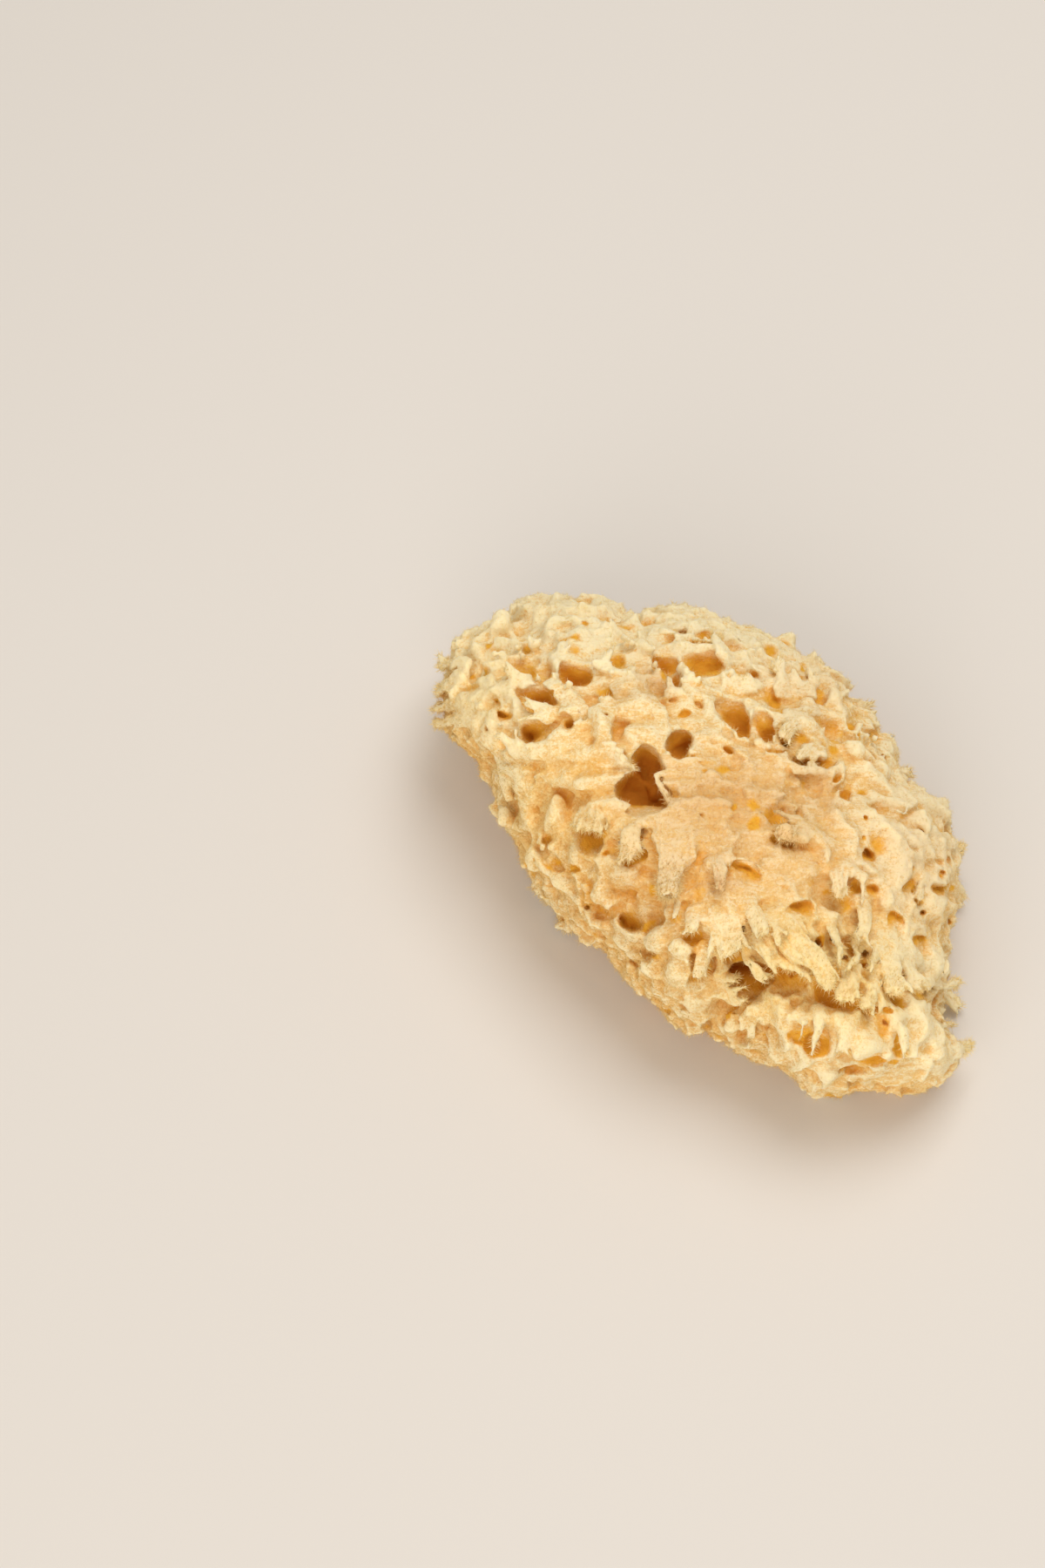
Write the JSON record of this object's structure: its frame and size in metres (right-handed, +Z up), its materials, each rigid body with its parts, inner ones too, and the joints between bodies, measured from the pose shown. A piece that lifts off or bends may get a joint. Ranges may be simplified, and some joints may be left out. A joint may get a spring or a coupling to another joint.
{
  "type": "sea sponge",
  "caption": "Natural sea sponge with an open-pored crown, shaggy flaps and tufts, cut flat underneath so that it rests on a surface.",
  "frame": {"origin": "on the flat cut face underneath, in the middle of the sponge", "axes": "+Z up from the cut face, +Y away from the viewer's side, +X to the viewer's right"},
  "size_m": [0.1545, 0.1693, 0.0735],
  "materials": {
    "sponge": "soft dry spongin fibre, matte, cream at the tips and amber in the pores"
  },
  "bodies": {
    "root": {"sponge": "sponge"}
  },
  "joints": []
}
